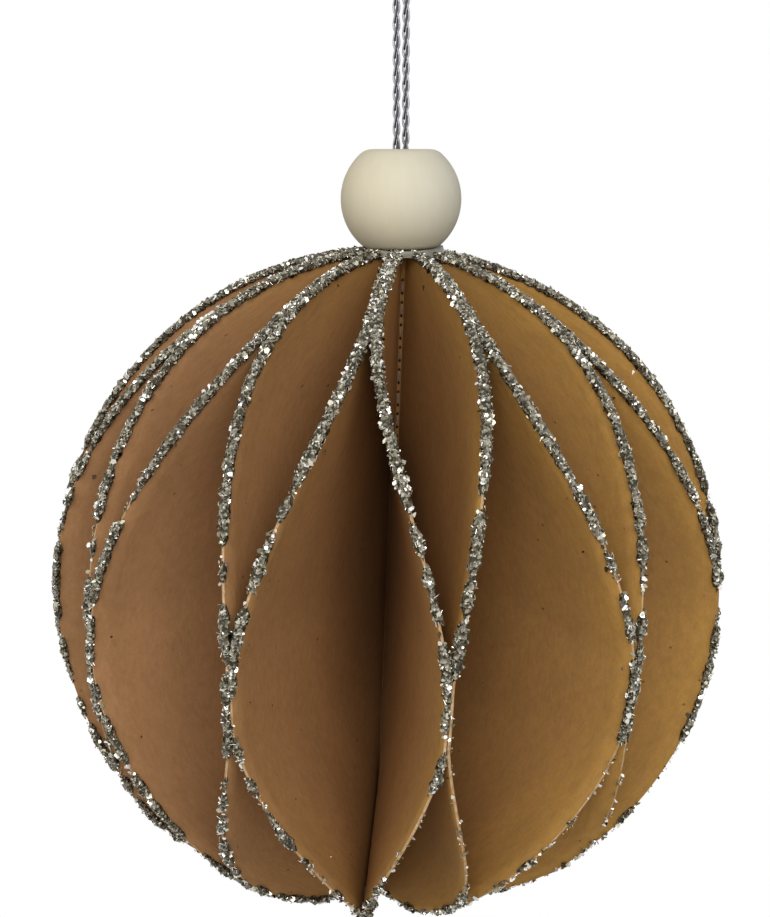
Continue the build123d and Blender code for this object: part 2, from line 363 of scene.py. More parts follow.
def card_finish(settings):
    """Brown card: rosy on the left and ochre on the right, mottled, with level fibres and a few dark specks.

    Towards the rims on the right it is painted yellower and brighter, a painted light on the lit rims, and
    towards the seam it is painted dark, a painted shade deep between the leaves.
    The attribute "outward" is the share of the way from the ball's centre to the rim.
    """
    finish = Finish("brown_card", Roughness=0.88, Specular_IOR_Level=0.2)
    place = finish.node("ShaderNodeTexCoord").outputs["Object"]
    level = finish.node("ShaderNodeSeparateXYZ", {"Vector": place}).outputs["X"]
    side = finish.levels(level, -0.022, 0.012)
    base = finish.blend(side, (*settings.rosy_card, 1), (*settings.ochre_card, 1))
    outward = finish.levels(finish.attribute("outward"), 0.80, 0.99, 0.0, 0.8)
    # Painted light: the card near the rims on the right is made yellower and brighter, standing for light on
    # the lit rims
    painted_rim_light_share = finish.node("ShaderNodeMath", {0: side, 1: outward}, operation="MULTIPLY").outputs[0]
    base = finish.blend(painted_rim_light_share, base, (*settings.painted_rim_light, 1))
    clouds = finish.noise(finish.coordinates("UV", (110, 70, 110)), 4.0, 0.6)
    base = finish.blend(finish.levels(clouds, 0.3, 0.7, 0.0, 0.42), base, (*settings.dark_card, 1))
    blots = finish.noise(finish.coordinates("UV", (950, 620, 900)), 3.0, 0.6)
    base = finish.blend(finish.levels(blots, 0.42, 0.68, 0.0, 0.30), base, (*settings.dark_card, 1))
    fibres = finish.noise(finish.coordinates("UV", (2200, 900, 900)), 5.0, 0.65)
    base = finish.blend(finish.levels(fibres, 0.42, 0.72, 0.0, 0.26), base, (*settings.pale_card, 1))
    grain = finish.noise(finish.coordinates("UV", (3200, 3600, 3200)), 2.0, 0.7)
    base = finish.blend(finish.levels(grain, 0.4, 0.8, 0.0, 0.3), base, (*settings.dark_card, 1))
    distance = finish.cells(finish.coordinates("UV", (260, 330, 300)))[1]
    speck = finish.levels(distance, 0.035, 0.06, 0.7, 0.0)
    base = finish.blend(speck, base, (*settings.speck, 1))
    # Painted shade: the card is darkened towards the seam, where the leaves close in
    painted_seam_shade_share = finish.levels(finish.attribute("outward"), 0.02, 0.55, 0.85, 0.0)
    base = finish.blend(painted_seam_shade_share, base, (*settings.painted_seam_shade, 1))
    finish.give("Base Color", base)
    finish.bump(finish.blend(0.4, fibres, grain), 0.00006, 0.5)
    return finish.material


def edge_finish(settings):
    """The cut edge of the card, pale and a little furry."""
    finish = Finish("card_cut_edge", Roughness=0.95, Specular_IOR_Level=0.15)
    grain = finish.noise(finish.coordinates("Object", (2500, 2500, 900)), 4.0, 0.7)
    pale = finish.blend(finish.levels(grain, 0.3, 0.7), (*settings.cut_edge, 1), (*settings.ochre_card, 1))
    finish.give("Base Color", pale)
    finish.bump(grain, 0.00008, 0.7)
    return finish.material


def flake_finish():
    """One glitter flake: a metal plate whose grey level goes from dark olive through champagne to silver; the
    spread stands partly for mixed glitter and partly for painted glints and painted shadows among the flakes.
    """
    finish = Finish("glitter_flake", Metallic=0.9, Roughness=0.26)
    ramp = finish.node("ShaderNodeValToRGB", {"Fac": finish.attribute("tone")})
    ramp.color_ramp.elements[0].color = (0.030, 0.026, 0.014, 1)
    ramp.color_ramp.elements[1].color = (1.0, 1.0, 0.97, 1)
    for position, colour in ((0.38, (0.26, 0.235, 0.160, 1)), (0.70, (0.66, 0.63, 0.52, 1))):
        ramp.color_ramp.elements.new(position).color = colour
    finish.give("Base Color", ramp.outputs["Color"])
    return finish.material


def crust_finish():
    """The bed under the flakes: fine glitter dust in dried glue, dark olive with champagne grains."""
    finish = Finish("glitter_bed", Metallic=0.5, Roughness=0.42)
    colour, distance = finish.cells(finish.coordinates("Object", (3200, 3200, 3200)))
    level = finish.node("ShaderNodeSeparateXYZ", {"Vector": colour}).outputs["X"]
    base = finish.blend(finish.levels(level, 0.35, 1.0), (0.045, 0.036, 0.018, 1), (0.42, 0.39, 0.30, 1))
    finish.give("Base Color", base)
    finish.bump(distance, 0.00025, 0.9)
    return finish.material


def wood_finish(settings):
    """Bare pale wood with faint upright grain, warmer on its left and darker and yellower towards its foot,
    sanded smooth.
    """
    finish = Finish("bare_wood", Roughness=0.7, Specular_IOR_Level=0.2)
    place = finish.node("ShaderNodeTexCoord").outputs["Object"]
    parts = finish.node("ShaderNodeSeparateXYZ", {"Vector": place})
    side = finish.levels(parts.outputs["X"], -0.0075, 0.006)
    base = finish.blend(side, (*settings.warm_wood, 1), (*settings.pale_wood, 1))
    low = finish.levels(parts.outputs["Z"], -0.0605, -0.0530, 0.45, 0.0)
    base = finish.blend(low, base, (*settings.low_wood, 1))
    grain = finish.noise(finish.coordinates("Object", (900, 900, 110)), 4.0, 0.6)
    base = finish.blend(finish.levels(grain, 0.35, 0.75, 0.0, 0.22), base, (*settings.grain_wood, 1))
    finish.give("Base Color", base)
    finish.bump(grain, 0.00003, 0.3)
    return finish.material


def glue_finish(name):
    """Dried clear glue: milky grey, half see-through and softly shiny."""
    finish = Finish(name, Roughness=0.35, Transmission_Weight=0.45, IOR=1.45)
    cloud = finish.noise(finish.coordinates("Object", (500, 500, 500)), 3.0, 0.6)
    tint = finish.blend(finish.levels(cloud, 0.3, 0.7), (0.30, 0.28, 0.21, 1), (0.50, 0.48, 0.40, 1))
    finish.give("Base Color", tint)
    finish.bump(cloud, 0.0001, 0.4)
    return finish.material


def yarn_finish(name, colour, dark, metallic):
    """Metallic yarn with filaments: its front and back take the bright colour, and its other two sides are
    painted dark, a painted shade for the dark reflections at its edges.
    """
    finish = Finish(name, Metallic=metallic, Roughness=0.32)
    wave = finish.noise(finish.coordinates("UV", (40000, 1500, 1)), 2.0, 0.6)
    painted_light_share = finish.levels(finish.attribute("painted_light_share"), 0.35, 0.85)
    shade = finish.node("ShaderNodeMath", {0: painted_light_share, 1: finish.levels(wave, 0.3, 0.6, 0.35, 1.0)},
                        operation="MULTIPLY").outputs[0]
    finish.give("Base Color", finish.blend(shade, (*dark, 1), (*colour, 1)))
    finish.bump(wave, 0.00002, 0.5)
    return finish.material


def thread_finish(settings):
    """Pale sewing thread with a fine twist."""
    finish = Finish("sewing_thread", Roughness=0.75)
    twist = finish.noise(finish.coordinates("Object", (5000, 5000, 2500), (0.6, 0, 0)), 2.0, 0.6)
    base = finish.blend(finish.levels(twist, 0.35, 0.65), (*settings.thread, 1), (*settings.thread_shade, 1))
    finish.give("Base Color", base)
    finish.bump(twist, 0.00004, 0.6)
    return finish.material


class PaperSettings(PropertyGroup):
    """The card sheets."""

    rows: IntProperty(name="Rows", description="Steps up each sheet", default=132, min=24)
    columns: IntProperty(name="Columns", description="Steps from the seam to the rim", default=16, min=4)
    bulge: FloatProperty(
        name="Bulge", description="Bow of a leaf between its glued spots", default=0.00022, unit="LENGTH"
    )
    rosy_card: FloatVectorProperty(
        name="Rosy card", description="Card colour on the left", default=(0.39, 0.195, 0.085), subtype="COLOR"
    )
    ochre_card: FloatVectorProperty(
        name="Ochre card", description="Colour on the right", default=(0.42, 0.215, 0.058), subtype="COLOR"
    )
    # Painted light: the colour laid on the card near the rims on the right, for light on the lit rims
    painted_rim_light: FloatVectorProperty(
        name="Golden card", description="Card colour at the rims", default=(0.52, 0.28, 0.05), subtype="COLOR"
    )
    # Painted shade: the dark colour laid on the card towards the seam
    painted_seam_shade: FloatVectorProperty(
        name="Seam card", description="Card colour at the seam", default=(0.10, 0.034, 0.010), subtype="COLOR"
    )
    dark_card: FloatVectorProperty(
        name="Dark card", description="Colour of the mottling", default=(0.23, 0.115, 0.042), subtype="COLOR"
    )
    pale_card: FloatVectorProperty(
        name="Pale card", description="Colour of the fibres", default=(0.48, 0.31, 0.15), subtype="COLOR"
    )
    speck: FloatVectorProperty(
        name="Speck", description="Colour of stray dark fibres", default=(0.06, 0.028, 0.010), subtype="COLOR"
    )
    cut_edge: FloatVectorProperty(
        name="Cut edge", description="Colour of the cut edge", default=(0.72, 0.52, 0.32), subtype="COLOR"
    )


class SeamSettings(PropertyGroup):
    """The sewing thread."""

    pitch: FloatProperty(name="Pitch", description="From stitch to stitch", default=0.00266, unit="LENGTH")
    stitch: FloatProperty(name="Stitch", description="Length of a stitch", default=0.0014, unit="LENGTH")
    width: FloatProperty(name="Width", description="Thickness of the thread", default=0.00028, unit="LENGTH")
    rise: FloatProperty(name="Rise", description="Height over the card", default=0.0002, unit="LENGTH")
    hole: FloatProperty(name="Hole", description="Radius of a needle hole", default=0.00016, unit="LENGTH")
    reach: FloatProperty(name="Reach", description="Half the seam's length", default=0.0375, unit="LENGTH")
    thread: FloatVectorProperty(
        name="Thread", description="Colour of the sewing thread", default=(0.36, 0.27, 0.18), subtype="COLOR"
    )
    thread_shade: FloatVectorProperty(
        name="Thread shade", description="Between its plies", default=(0.22, 0.15, 0.09), subtype="COLOR"
    )


class GlitterSettings(PropertyGroup):
    """The glitter on the rims."""

    flakes: IntProperty(name="Flakes", description="Flakes on a fully covered rim", default=1400, min=0)
    smallest: FloatProperty(
        name="Smallest", description="Half width of the smallest flake", default=0.00013, unit="LENGTH"
    )
    largest: FloatProperty(
        name="Largest", description="Half width of the largest flake", default=0.00042, unit="LENGTH"
    )
    plate: FloatProperty(
        name="Plate", description="Thickness of a flake", default=0.00005, unit="LENGTH"
    )
    half_width: FloatProperty(
        name="Half width", description="Half the width of the crust", default=0.00068, unit="LENGTH"
    )
    height: FloatProperty(
        name="Height", description="How far the crust stands out of the rim", default=0.00046, unit="LENGTH"
    )
    stray: FloatProperty(name="Stray", description="Share of the flakes that fell on the card", default=0.02)
    stray_reach: FloatProperty(
        name="Stray reach", description="How far they fell from the rim", default=0.004, unit="LENGTH"
    )
    seed: IntProperty(name="Seed", description="Seed of the scatter", default=41)


class BeadSettings(PropertyGroup):
    """The bead and the glue at its foot."""

    diameter: FloatProperty(
        name="Diameter", description="Bead diameter", default=2 * BEAD_RADIUS, unit="LENGTH"
    )
    bore: FloatProperty(name="Bore", description="Bore diameter", default=0.003, unit="LENGTH")
    ease: FloatProperty(name="Ease", description="Rounding of the bore", default=0.00035, unit="LENGTH")
    brow: FloatProperty(
        name="Brow", description="Depth of the rounding round each flat", default=0.00045, unit="LENGTH"
    )
    flat: FloatProperty(name="Flat", description="Diameter of each flat", default=0.0062, unit="LENGTH")
    warm_wood: FloatVectorProperty(
        name="Warm wood", description="Colour on the left", default=(0.74, 0.66, 0.47), subtype="COLOR"
    )
    pale_wood: FloatVectorProperty(
        name="Pale wood", description="Colour on the right", default=(0.72, 0.685, 0.56), subtype="COLOR"
    )
    low_wood: FloatVectorProperty(
        name="Low wood", description="Colour near the foot", default=(0.62, 0.54, 0.37), subtype="COLOR"
    )
    grain_wood: FloatVectorProperty(
        name="Grain", description="Colour of the grain", default=(0.62, 0.55, 0.40), subtype="COLOR"
    )


class CordSettings(PropertyGroup):
    """The doubled metallic cord."""

    diameter: FloatProperty(name="Diameter", description="Cord diameter", default=0.0009, unit="LENGTH")
    length: FloatProperty(name="Length", description="The whole cord", default=0.1225, unit="LENGTH")
    link: FloatProperty(name="Link", description="Length of one chain stitch", default=0.0020, unit="LENGTH")
    overlap: FloatProperty(name="Overlap", description="Length of a loop over that of a stitch", default=1.25)
    yarn: FloatProperty(name="Yarn", description="Thickness of the yarn", default=0.00027, unit="LENGTH")
    silver: FloatVectorProperty(
        name="Silver", description="Bright yarn", default=(0.78, 0.78, 0.80), subtype="COLOR"
    )
    # Painted shade: the colour of the bright yarn's darkened sides
    silver_painted_shade: FloatVectorProperty(
        name="Silver shade", description="Its dark sides", default=(0.05, 0.05, 0.055), subtype="COLOR"
    )
    graphite: FloatVectorProperty(
        name="Graphite", description="Dark yarn", default=(0.22, 0.22, 0.24), subtype="COLOR"
    )
    # Painted shade: the colour of the dark yarn's darkened sides
    graphite_painted_shade: FloatVectorProperty(
        name="Graphite shade", description="Its dark sides", default=(0.03, 0.03, 0.035), subtype="COLOR"
    )


class StageSettings(PropertyGroup):
    """Light and floor."""

    floor_depth: FloatProperty(
        name="Floor", description="How far the floor lies under the hook", default=0.26, unit="LENGTH"
    )
    floor_size: FloatProperty(name="Floor size", description="Width of the floor", default=6.0, unit="LENGTH")
    key_power: FloatProperty(name="Key", description="Power of the main lamp in watts", default=3.4, min=0)
    fill_power: FloatProperty(name="Fill", description="Power of the side lamp in watts", default=0.9, min=0)
    air: FloatProperty(name="Air", description="Strength of the light from all sides", default=0.20, min=0)


class PaperBallSettings(PropertyGroup):
    """All the ornament's settings."""

    paper: PointerProperty(type=PaperSettings)
    seam: PointerProperty(type=SeamSettings)
    glitter: PointerProperty(type=GlitterSettings)
    bead: PointerProperty(type=BeadSettings)
    cord: PointerProperty(type=CordSettings)
    stage: PointerProperty(type=StageSettings)


def leaf_surface(disc, shifts, latitude, columns, rng, bulge):
    """Middle surface of a right-hand leaf, as a grid of straight lines from its root line to its rim.

    Between glued spots most lines start near one fold root on the seam, so the sheet bends like a cone.
    Beside the spots they start along the root line, so the sheet is flat there. A line's foot is a blend of
    that height and the rim's own. A soft bow is added between the spots: bulge * sin(pi u) * sin(pi s)
    squared, with s the share of the way between spots.
    """
    root = leaf_root(disc)
    rim = rim_points(disc, shifts, latitude)
    middle_height = RADIUS * np.sin(MIDDLE_SPOT)
    half_middle = np.clip((latitude - MIDDLE_SPOT) / SPOT_HALF_ANGLE, -1, 1)
    height = middle_height + half_middle * FOLD_ROOT_HEIGHT
    pole = np.sqrt(RADIUS**2 - root @ root)
    for sign, edge in ((1, TOP_SPOT - SPOT_HALF_ANGLE), (-1, LOW_SPOT + SPOT_HALF_ANGLE)):
        start = middle_height + sign * FOLD_ROOT_HEIGHT
        rise = (np.sin(latitude) - np.sin(edge)) / (sign * pole / RADIUS - np.sin(edge))
        height = np.where(sign * latitude > sign * edge, start + (sign * pole - start) * rise, height)
    height = FOLD_SHARPNESS * height + (1 - FOLD_SHARPNESS) * pole * np.sin(latitude)
    foot = np.column_stack((np.tile(root, (len(latitude), 1)), height))
    share = np.linspace(0, 1, columns)[None, :, None]
    surface = foot[:, None] * (1 - share) + rim[:, None] * share
    swing = sum(np.sin(np.pi * s) ** 2 * rng.uniform(-1, 1) for s in shares(latitude))
    square = np.append(across(STEP * (disc + 0.5)), 0)
    bow = bulge * np.sin(np.pi * share) * swing[:, None, None]
    return surface + bow * square, share[0, :, 0] * (RADIUS - np.linalg.norm(root))


def sheet_surface(disc, settings):
    """A sheet's middle surface as one grid (right leaf, strip, left leaf), its flat map and its "outward"."""
    rng = np.random.default_rng(disc)
    pole_margin = np.arcsin(np.linalg.norm(leaf_root(disc)) / RADIUS) + np.radians(0.8)
    latitude = np.linspace(-np.pi / 2 + pole_margin, np.pi / 2 - pole_margin, settings.rows)
    right, across_right = leaf_surface(disc, RIGHT_SHIFTS, latitude, settings.columns, rng, settings.bulge)
    left, across_left = leaf_surface(disc, LEFT_SHIFTS, latitude, settings.columns, rng, settings.bulge)
    left = mirrored(left, -1)
    height = right[:, 0, 2]
    fold = np.column_stack((np.full_like(height, fold_x(disc)), np.full_like(height, stack_y(disc)), height))
    strip = np.stack([fold * (share, 1, 1) for share in (1, 0.5, 0, -0.5, -1)], axis=1)
    surface = np.concatenate((right[:, ::-1], strip, left), axis=1)
    strip_flat = np.array((1, 0.5, 0, -0.5, -1)) * fold_x(disc)
    leaf_start = fold_x(disc) + LEAF_ROOT
    flat = np.concatenate((leaf_start + across_right[::-1], strip_flat, -leaf_start - across_left))
    rows, columns = surface.shape[:2]
    sheet_map = np.stack((np.broadcast_to(flat, (rows, columns)) + 0.1 * disc, surface[..., 2]), axis=-1)
    return surface, sheet_map, np.linalg.norm(surface, axis=-1) / RADIUS


def sheet_shell(surface):
    """A closed sheet: the middle surface moved half a thickness to each side, and joined round its border."""
    rows, columns = surface.shape[:2]
    normal = unit(np.cross(np.gradient(surface, axis=1), np.gradient(surface, axis=0)))
    back = (surface + normal * SHEET / 2).reshape(-1, 3)
    front = (surface - normal * SHEET / 2).reshape(-1, 3)
    quads = grid_quads(rows, columns)
    count = rows * columns
    number = np.arange(count).reshape(rows, columns)
    border = np.concatenate((number[0], number[1:, -1], number[-1, -2::-1], number[-2:0:-1, 0]))
    following = np.roll(border, -1)
    rim = np.stack((following, border, border + count, following + count), axis=-1)
    points = np.concatenate((back, front))
    return points, quads, quads[:, ::-1] + count, rim


class PAPERBALL_OT_sheets(Operator):
    """Build the folded card sheets"""

    bl_idname = "paperball.sheets"
    bl_label = "Card sheets"

    def execute(self, context):
        settings = context.scene.paper_ball.paper
        cut = edge_finish(settings)
        card = card_finish(settings)
        for disc in range(DISC_COUNT):
            surface, sheet_map, outward = sheet_surface(disc, settings)
            points, back, front, rim = sheet_shell(surface)
            kinds = np.repeat((0, 1), (len(back) + len(front), len(rim)))
            name = f"card_sheet_{disc + 1:02d}"
            piece = add_piece(name, place_ball(points), [back, front, rim], [card, cut], kinds)
            set_map(piece, np.tile(sheet_map.reshape(-1, 2), (2, 1)))
            set_value(piece, "outward", np.tile(outward.ravel(), 2))
            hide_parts(f"paper_disc_{disc + 1:02d}")
        return {"FINISHED"}


def crust_room(disc, shifts, latitude, points, half_width):
    """How wide the crust may be on each side of a rim: its half width, or less beside a glued neighbour."""
    rooms = []
    for number in (disc, disc + 1):
        plane = across(joint_angle(shifts, number, latitude))
        rooms.append(np.minimum(half_width, np.abs(np.sum(points[:, :2] * plane, axis=1))))
    return rooms


def coverage(disc, side, latitude):
    """How much glitter lies along a rim, from 0 to 1: thick near the pole, in ragged clusters lower down."""
    rng = np.random.default_rng(700 + 2 * disc + (side > 0))
    waves = sum(np.sin(latitude * pace + rng.uniform(0, TURN)) for pace in (11.0, 23.0, 41.0, 67.0))
    upper = 1 / (1 + np.exp((0.50 - latitude) * 8))
    amount = 0.52 + 0.42 * upper + (0.20 - 0.15 * upper) * waves
    low, high, kept = BARE_STRETCHES.get((side, disc), (0.0, 0.0, 1.0))
    middle, reach = np.radians((low + high) / 2), np.radians((high - low) / 2)
    inside = 1 / (1 + np.exp((np.abs(latitude - middle) - reach) * 60))
    return np.clip(amount * (1 - (1 - kept) * inside), 0.03, 1.0)


def rim_frame(disc, shifts, latitude):
    """A rim's points with the directions out of the ball, across the sheet and along the rim."""
    points = rim_points(disc, shifts, latitude)
    out = unit(points)
    side = np.column_stack((across(rim_angle(disc, shifts, latitude)), np.zeros(len(latitude))))
    return points, out, side


def crust_bed(disc, side, settings):
    """The bed of fine glitter: a lumpy tube of elliptical section along a rim, thin where the rim is bare."""
    shifts = RIGHT_SHIFTS if side > 0 else LEFT_SHIFTS
    latitude = np.radians(np.linspace(*BED_ENDS, 260))
    points, out, square = rim_frame(disc, shifts, latitude)
    rooms = crust_room(disc, shifts, latitude, points, settings.half_width * 0.86)
    turn = np.linspace(0, TURN, 12, endpoint=False)
    rng = np.random.default_rng(settings.seed * 100 + 2 * disc + (side > 0))
    lumps = 1 + 0.16 * rng.standard_normal((len(latitude), len(turn)))
    amount = np.clip((coverage(disc, side, latitude) - 0.28) / 0.4, 0, 1)[:, None]
    reach = np.where(np.sin(turn) > 0, rooms[1][:, None], rooms[0][:, None])
    wide = np.sin(turn) * (BARE_BED + (reach - BARE_BED) * amount) * lumps
    high = np.cos(turn) * (BARE_BED + settings.height * 0.8 * amount) * lumps - BARE_SINK * (1 - amount)
    tube = points[:, None] + out[:, None] * high[..., None] + square[:, None] * wide[..., None]
    rows, columns = tube.shape[:2]
    quads = grid_quads(rows, columns, around=True)
    caps = np.stack((np.arange(columns)[::-1], np.arange(columns) + (rows - 1) * columns))
    return tube.reshape(-1, 3), quads, caps


def flakes(disc, side, settings):
    """Glitter flakes round a rim: five-cornered plates, scattered by the coverage and tilted at random."""
    shifts = RIGHT_SHIFTS if side > 0 else LEFT_SHIFTS
    rng = np.random.default_rng(settings.seed * 1000 + 2 * disc + (side > 0))
    fine = np.radians(np.linspace(*FLAKE_ENDS, 2000))
    weight = coverage(disc, side, fine)
    chance = np.cumsum(weight) / np.sum(weight)
    count = int(settings.flakes * weight.mean())
    latitude = np.interp(rng.random(count), chance, fine)
    points, out, square = rim_frame(disc, shifts, latitude)
    rooms = crust_room(disc, shifts, latitude, points, settings.half_width)
    turn = np.radians(rng.uniform(-118, 118, count))
    thin = np.clip(0.35 + 0.75 * coverage(disc, side, latitude), 0, 1)
    reach = np.where(turn > 0, rooms[1], rooms[0]) * thin
    depth = rng.uniform(0.75, 1.08, count)
    wide = np.sin(turn) * reach * depth
    high = np.cos(turn) * settings.height * thin * depth
    stray = rng.random(count) < settings.stray
    wide = np.where(stray, np.sign(wide) * (SHEET / 2 + settings.plate / 2), wide)
    high = np.where(stray, -settings.stray_reach * rng.random(count) ** 2, high)
    turn = np.where(stray, np.sign(turn) * np.pi / 2, turn)
    centre = points + out * high[:, None] + square * wide[:, None]
    facing = out * np.cos(turn)[:, None] + square * np.sin(turn)[:, None]
    normal = unit(facing + np.where(stray, 0.1, 0.75)[:, None] * rng.standard_normal((count, 3)))
    first = unit(np.cross(normal, rng.standard_normal((count, 3))))
    second = np.cross(normal, first)
    uneven = rng.uniform(-0.3, 0.3, (count, FLAKE_CORNERS))
    corner = TURN * (np.arange(FLAKE_CORNERS) + uneven) / FLAKE_CORNERS
    size = settings.smallest + (settings.largest - settings.smallest) * rng.random(count) ** 1.6
    spread = size[:, None] * rng.uniform(0.75, 1.15, (count, FLAKE_CORNERS))
    squash = rng.uniform(0.55, 1.0, count)[:, None]
    flat = first[:, None] * (np.cos(corner) * spread)[..., None]
    flat = flat + second[:, None] * (np.sin(corner) * spread * squash)[..., None]
    lift = normal[:, None] * settings.plate / 2
    plate = np.concatenate((centre[:, None] + flat + lift, centre[:, None] + flat - lift), axis=1)
    around = np.arange(FLAKE_CORNERS)
    after = (around + 1) % FLAKE_CORNERS
    base = (np.arange(count) * 2 * FLAKE_CORNERS)[:, None]
    under = base + FLAKE_CORNERS
    top, bottom = base + around, under + around[::-1]
    walls = np.stack((top, under + around, under + after, base + after), axis=-1).reshape(-1, 4)
    # Painted light: a flake's grey level is raised when it faces out of the ball and lowered when it faces the
    # leaves beside it
    tone = np.clip(rng.beta(1.5, 1.3, count) + 0.15 * np.cos(turn), 0, 1)
    return plate.reshape(-1, 3), [top, bottom], walls, np.repeat(tone, 2 * FLAKE_CORNERS)


class PAPERBALL_OT_glitter(Operator):
    """Scatter the glitter along every rim"""

    bl_idname = "paperball.glitter"
    bl_label = "Glitter"

    def execute(self, context):
        settings = context.scene.paper_ball.glitter
        bed_material = crust_finish()
        flake_material = flake_finish()
        for disc in range(DISC_COUNT):
            node = f"glitter_edge_{disc + 1:02d}"
            self.join(f"glitter_bed_{disc + 1:02d}", disc, settings, bed_material, self.beds)
            piece = self.join(f"glitter_flakes_{disc + 1:02d}", disc, settings, flake_material, self.plates)
            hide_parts(node)
        return {"FINISHED"}

    @staticmethod
    def beds(disc, side, settings):
        """A bed's points and polygons, and an even tone."""
        points, quads, caps = crust_bed(disc, side, settings)
        return points, [quads, caps], np.zeros(len(points)), True

    @staticmethod
    def plates(disc, side, settings):
        """The flakes' points, polygons and tones."""
        points, faces, walls, tone = flakes(disc, side, settings)
        return points, [np.concatenate(faces), walls], tone, False

    @staticmethod
    def join(name, disc, settings, material, maker):
        """One piece for a sheet's two rims. The left one is mirrored, and its polygons are turned round."""
        points, polygons, tones = [], [[], []], []
        start = 0
        for side in (1, -1):
            own, faces, tone, smooth = maker(disc, side, settings)
            points.append(place_ball(mirrored(own, side)))
            for kept, array in zip(polygons, faces):
                kept.append((array if side > 0 else array[:, ::-1]) + start)
            tones.append(tone)
            start += len(own)
        arrays = [np.concatenate(kept) for kept in polygons]
        piece = add_piece(name, np.concatenate(points), arrays, [material], smooth=smooth)
        set_value(piece, "tone", np.concatenate(tones))
        return piece


def stitch_heights(settings):
    """Heights of the stitches' middles, evenly spaced about the ball's centre."""
    count = int(2 * settings.reach / settings.pitch)
    return (np.arange(count) - (count - 1) / 2) * settings.pitch


def stitch_points(settings):
    """One stitch: a round thread whose line rises from the card and dips back as cos(pi t / 2) ** 0.33."""
    along = np.linspace(-1, 1, 15)
    turn = np.linspace(0, TURN, 10, endpoint=False)
    taper = np.sqrt(np.maximum(1 - along**6, 0.02))
    rise = settings.rise * np.cos(np.pi * along / 2) ** 0.33 - settings.width / 2
    x = (settings.width / 2) * taper[:, None] * np.cos(turn)
    y = -(rise[:, None] + (settings.width / 2) * taper[:, None] * np.sin(turn))
    z = np.broadcast_to((settings.stitch / 2 * along)[:, None], x.shape)
    return np.stack((x, y, z), axis=-1)


class PAPERBALL_OT_seam(Operator):
    """Sew the seam: stitches in front and behind, with the needle's holes at their ends"""

    bl_idname = "paperball.seam"
    bl_label = "Seam thread"

    def execute(self, context):
        settings = context.scene.paper_ball.seam
        one = stitch_points(settings)
        rows, columns = one.shape[:2]
        quads = grid_quads(rows, columns, around=True)[:, ::-1]
        caps = np.stack((np.arange(columns), np.arange(columns)[::-1] + (rows - 1) * columns))
        face = -stack_y(0) + SHEET / 2
        points, polygons = [], [[], []]
        heights = stitch_heights(settings)
        for side in (1, -1):
            for height in heights:
                moved = one.reshape(-1, 3) * (side, side, 1) + (0, -face * side, height)
                for kept, array in zip(polygons, (quads, caps)):
                    kept.append(array + len(points) * rows * columns)
                points.append(moved)
        arrays = [np.concatenate(kept) for kept in polygons]
        piece = add_piece("seam_stitches", place_ball(np.concatenate(points)), arrays,
                          [thread_finish(settings)])
        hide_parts("seam_thread")
        end = settings.stitch / 2 + settings.hole / 2
        self.holes(np.concatenate((heights - end, heights + end)), face, settings.hole)
        return {"FINISHED"}

    @staticmethod
    def holes(heights, face, radius):
        """The needle's holes, as dark dimples at the ends of the stitches on both faces of the stack. Their
        near-black colour is painted shade that stands for the depth of a hole.
        """
        finish = Finish("needle_hole", Roughness=1.0, Base_Color=(0.020, 0.005, 0.002, 1))
        turn = np.linspace(0, TURN, HOLE_CORNERS, endpoint=False)
        ring = np.column_stack((radius * np.cos(turn), np.zeros(HOLE_CORNERS), 1.3 * radius * np.sin(turn)))
        points, faces, walls = [], [], []
        upper = np.arange(HOLE_CORNERS)
        lower = upper + HOLE_CORNERS
        after = (upper + 1) % HOLE_CORNERS
        for side in (1, -1):
            for height in heights:
                start = HOLE_CORNERS * len(faces)
                for depth in HOLE_DEPTHS:
                    points.append(ring * (side, 1, 1) + (0, -side * (face + depth), height))
                faces += [upper + start, lower[::-1] + start]
                walls.append(np.stack((upper, lower, after + HOLE_CORNERS, after), axis=-1) + start)
        arrays = [np.stack(faces), np.concatenate(walls)]
        add_piece("needle_holes", place_ball(np.concatenate(points)), arrays, [finish.material],
                  smooth=False)


def bezier(corners, steps):
    """Points of the curve (1 - t)^2 a + 2 t (1 - t) b + t^2 c between three corners."""
    t = np.linspace(0, 1, steps)[:, None]
    return (1 - t) ** 2 * corners[0] + 2 * t * (1 - t) * corners[1] + t * t * corners[2]


def turned(profile, steps):
    """A closed profile of (radius, height) points turned round the Z axis, profile by profile."""
    angle = np.linspace(0, TURN, steps, endpoint=False)[:, None]
    radius, height = profile[:, 0], profile[:, 1]
    x, y = radius * np.cos(angle), radius * np.sin(angle)
    return np.stack((x, y, np.broadcast_to(height, x.shape)), axis=-1)


def ring_quads(rings, columns):
    """Quads of rings that close on themselves both ways."""
    ring, column = np.mgrid[0:rings, 0:columns]
    after_ring, after = (ring + 1) % rings, (column + 1) % columns
    here, next_ring = ring * columns, after_ring * columns
    quads = (here + column, next_ring + column, next_ring + after, here + after)
    return np.stack(quads, axis=-1).reshape(-1, 4)


